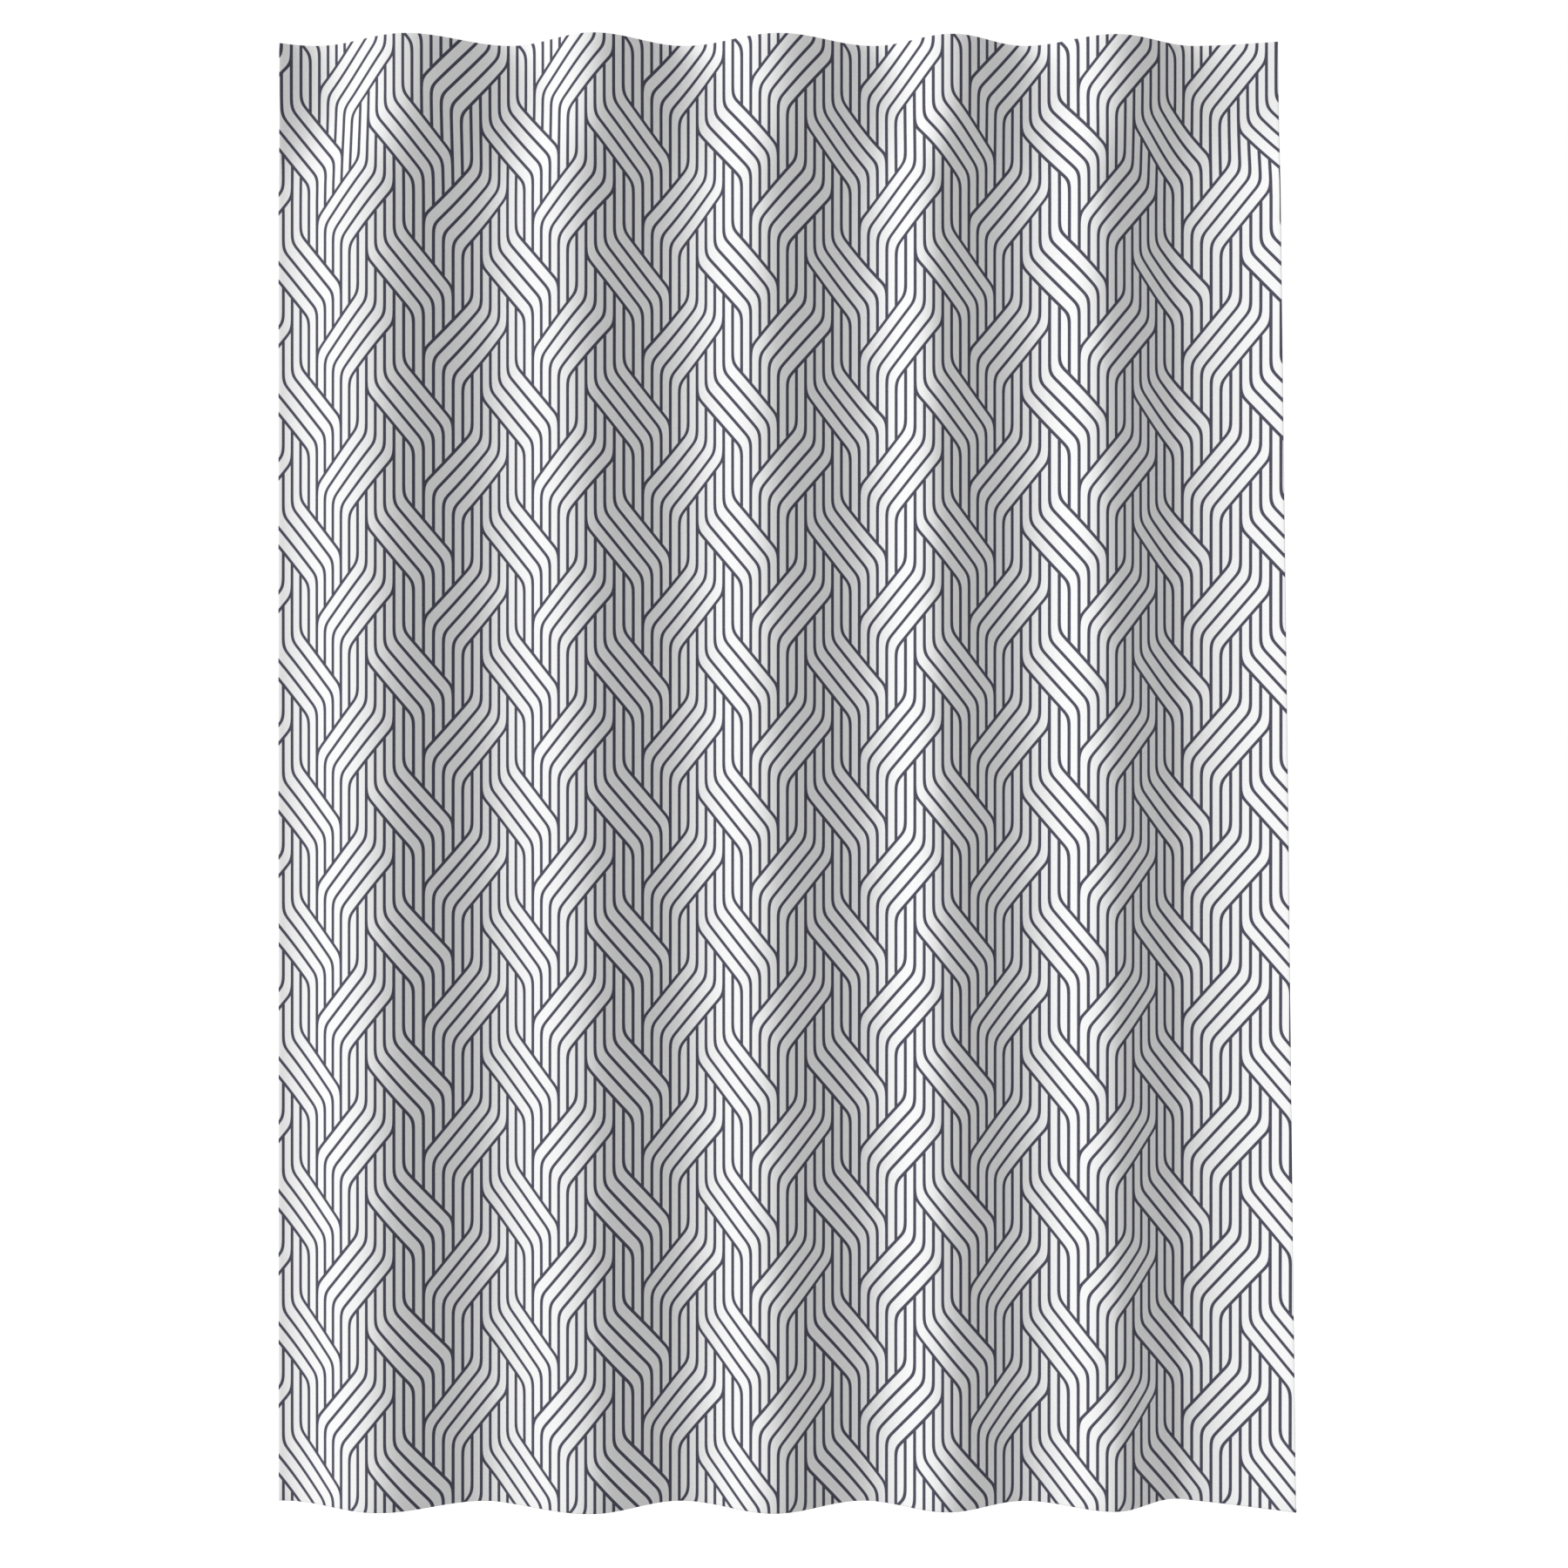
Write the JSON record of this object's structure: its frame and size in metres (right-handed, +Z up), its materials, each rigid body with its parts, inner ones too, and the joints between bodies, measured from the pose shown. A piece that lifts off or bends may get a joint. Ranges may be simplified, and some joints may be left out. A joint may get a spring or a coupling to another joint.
{
  "type": "shower curtain",
  "caption": "Hanging fabric shower curtain in soft vertical folds with a printed cable line pattern, a concealed hook heading and a weighted hem; draws along a rail.",
  "frame": {"origin": "middle of the straight line on which the six hooks hang, at the inside top of their crooks", "axes": "+X along the rail to the viewer's right, +Y to the wall behind the curtain, +Z up"},
  "size_m": [1.3919, 0.0701, 2],
  "materials": {
    "printed_cloth": "matt woven polyester, white with dark navy printed lines",
    "hem_cloth": "back of the printed cloth, turned and stitched",
    "heading_tape": "ribbed white woven tape",
    "hook_plastic": "moulded white acetal, satin",
    "weight_cord": "braided sleeve over lead beads"
  },
  "bodies": {
    "left_end": {"cloth_left_end": "printed_cloth", "heading_tape_left_end": "heading_tape", "bottom_hem_left_end": "hem_cloth", "side_hem_left": "hem_cloth", "hook_1": "hook_plastic", "hook_pocket_1": "heading_tape"},
    "fold_1a": {"cloth_fold_1a": "printed_cloth", "heading_tape_fold_1a": "heading_tape", "bottom_hem_fold_1a": "hem_cloth", "hem_weight_fold_1a": "weight_cord"},
    "fold_1b": {"cloth_fold_1b": "printed_cloth", "heading_tape_fold_1b": "heading_tape", "bottom_hem_fold_1b": "hem_cloth", "hem_weight_fold_1b": "weight_cord"},
    "hanger_2": {"hook_2": "hook_plastic", "hook_pocket_2": "heading_tape"},
    "fold_2a": {"cloth_fold_2a": "printed_cloth", "heading_tape_fold_2a": "heading_tape", "bottom_hem_fold_2a": "hem_cloth", "hem_weight_fold_2a": "weight_cord"},
    "fold_2b": {"cloth_fold_2b": "printed_cloth", "heading_tape_fold_2b": "heading_tape", "bottom_hem_fold_2b": "hem_cloth", "hem_weight_fold_2b": "weight_cord"},
    "hanger_3": {"hook_3": "hook_plastic", "hook_pocket_3": "heading_tape"},
    "fold_3a": {"cloth_fold_3a": "printed_cloth", "heading_tape_fold_3a": "heading_tape", "bottom_hem_fold_3a": "hem_cloth", "hem_weight_fold_3a": "weight_cord"},
    "fold_3b": {"cloth_fold_3b": "printed_cloth", "heading_tape_fold_3b": "heading_tape", "bottom_hem_fold_3b": "hem_cloth", "hem_weight_fold_3b": "weight_cord"},
    "hanger_4": {"hook_4": "hook_plastic", "hook_pocket_4": "heading_tape"},
    "fold_4a": {"cloth_fold_4a": "printed_cloth", "heading_tape_fold_4a": "heading_tape", "bottom_hem_fold_4a": "hem_cloth", "hem_weight_fold_4a": "weight_cord"},
    "fold_4b": {"cloth_fold_4b": "printed_cloth", "heading_tape_fold_4b": "heading_tape", "bottom_hem_fold_4b": "hem_cloth", "hem_weight_fold_4b": "weight_cord"},
    "hanger_5": {"hook_5": "hook_plastic", "hook_pocket_5": "heading_tape"},
    "fold_5a": {"cloth_fold_5a": "printed_cloth", "heading_tape_fold_5a": "heading_tape", "bottom_hem_fold_5a": "hem_cloth", "hem_weight_fold_5a": "weight_cord"},
    "fold_5b": {"cloth_fold_5b": "printed_cloth", "heading_tape_fold_5b": "heading_tape", "bottom_hem_fold_5b": "hem_cloth", "hem_weight_fold_5b": "weight_cord"},
    "right_end": {"cloth_right_end": "printed_cloth", "heading_tape_right_end": "heading_tape", "bottom_hem_right_end": "hem_cloth", "side_hem_right": "hem_cloth", "hook_6": "hook_plastic", "hook_pocket_6": "heading_tape"}
  },
  "joints": [
    {"name": "draw", "type": "hinge", "parent": "left_end", "child": "fold_1a", "pos_m": [-0.6045, -0.0129, -0.985], "axis": [0, 0, -1], "range_deg": [0, 52]},
    {"name": "ridge_1", "type": "hinge", "parent": "fold_1a", "child": "fold_1b", "pos_m": [-0.471, -0.0614, -0.985], "axis": [0, 0, 1], "range_deg": [0, 104]},
    {"name": "hook_2_swivel", "type": "hinge", "parent": "fold_1b", "child": "hanger_2", "pos_m": [-0.3375, -0.0129, -0.985], "axis": [0, 0, -1], "range_deg": [0, 52]},
    {"name": "valley_2", "type": "hinge", "parent": "fold_1b", "child": "fold_2a", "pos_m": [-0.3375, -0.0129, -0.985], "axis": [0, 0, -1], "range_deg": [0, 104]},
    {"name": "ridge_2", "type": "hinge", "parent": "fold_2a", "child": "fold_2b", "pos_m": [-0.218, -0.0634, -0.985], "axis": [0, 0, 1], "range_deg": [0, 104]},
    {"name": "hook_3_swivel", "type": "hinge", "parent": "fold_2b", "child": "hanger_3", "pos_m": [-0.0985, -0.0129, -0.985], "axis": [0, 0, -1], "range_deg": [0, 52]},
    {"name": "valley_3", "type": "hinge", "parent": "fold_2b", "child": "fold_3a", "pos_m": [-0.0985, -0.0129, -0.985], "axis": [0, 0, -1], "range_deg": [0, 104]},
    {"name": "ridge_3", "type": "hinge", "parent": "fold_3a", "child": "fold_3b", "pos_m": [0.032, -0.0614, -0.985], "axis": [0, 0, 1], "range_deg": [0, 104]},
    {"name": "hook_4_swivel", "type": "hinge", "parent": "fold_3b", "child": "hanger_4", "pos_m": [0.1625, -0.0129, -0.985], "axis": [0, 0, -1], "range_deg": [0, 52]},
    {"name": "valley_4", "type": "hinge", "parent": "fold_3b", "child": "fold_4a", "pos_m": [0.1625, -0.0129, -0.985], "axis": [0, 0, -1], "range_deg": [0, 104]},
    {"name": "ridge_4", "type": "hinge", "parent": "fold_4a", "child": "fold_4b", "pos_m": [0.2665, -0.0584, -0.985], "axis": [0, 0, 1], "range_deg": [0, 104]},
    {"name": "hook_5_swivel", "type": "hinge", "parent": "fold_4b", "child": "hanger_5", "pos_m": [0.3705, -0.0129, -0.985], "axis": [0, 0, -1], "range_deg": [0, 52]},
    {"name": "valley_5", "type": "hinge", "parent": "fold_4b", "child": "fold_5a", "pos_m": [0.3705, -0.0129, -0.985], "axis": [0, 0, -1], "range_deg": [0, 104]},
    {"name": "ridge_5", "type": "hinge", "parent": "fold_5a", "child": "fold_5b", "pos_m": [0.4875, -0.0574, -0.985], "axis": [0, 0, 1], "range_deg": [0, 104]},
    {"name": "right_end_turn", "type": "hinge", "parent": "fold_5b", "child": "right_end", "pos_m": [0.6045, -0.0129, -0.985], "axis": [0, 0, -1], "range_deg": [0, 52]}
  ],
  "couplings": [
    {"joint": "ridge_1", "follows": "draw", "ratio": 2},
    {"joint": "hook_2_swivel", "follows": "draw", "ratio": 1},
    {"joint": "valley_2", "follows": "draw", "ratio": 2},
    {"joint": "ridge_2", "follows": "draw", "ratio": 2},
    {"joint": "hook_3_swivel", "follows": "draw", "ratio": 1},
    {"joint": "valley_3", "follows": "draw", "ratio": 2},
    {"joint": "ridge_3", "follows": "draw", "ratio": 2},
    {"joint": "hook_4_swivel", "follows": "draw", "ratio": 1},
    {"joint": "valley_4", "follows": "draw", "ratio": 2},
    {"joint": "ridge_4", "follows": "draw", "ratio": 2},
    {"joint": "hook_5_swivel", "follows": "draw", "ratio": 1},
    {"joint": "valley_5", "follows": "draw", "ratio": 2},
    {"joint": "ridge_5", "follows": "draw", "ratio": 2},
    {"joint": "right_end_turn", "follows": "draw", "ratio": 1}
  ]
}
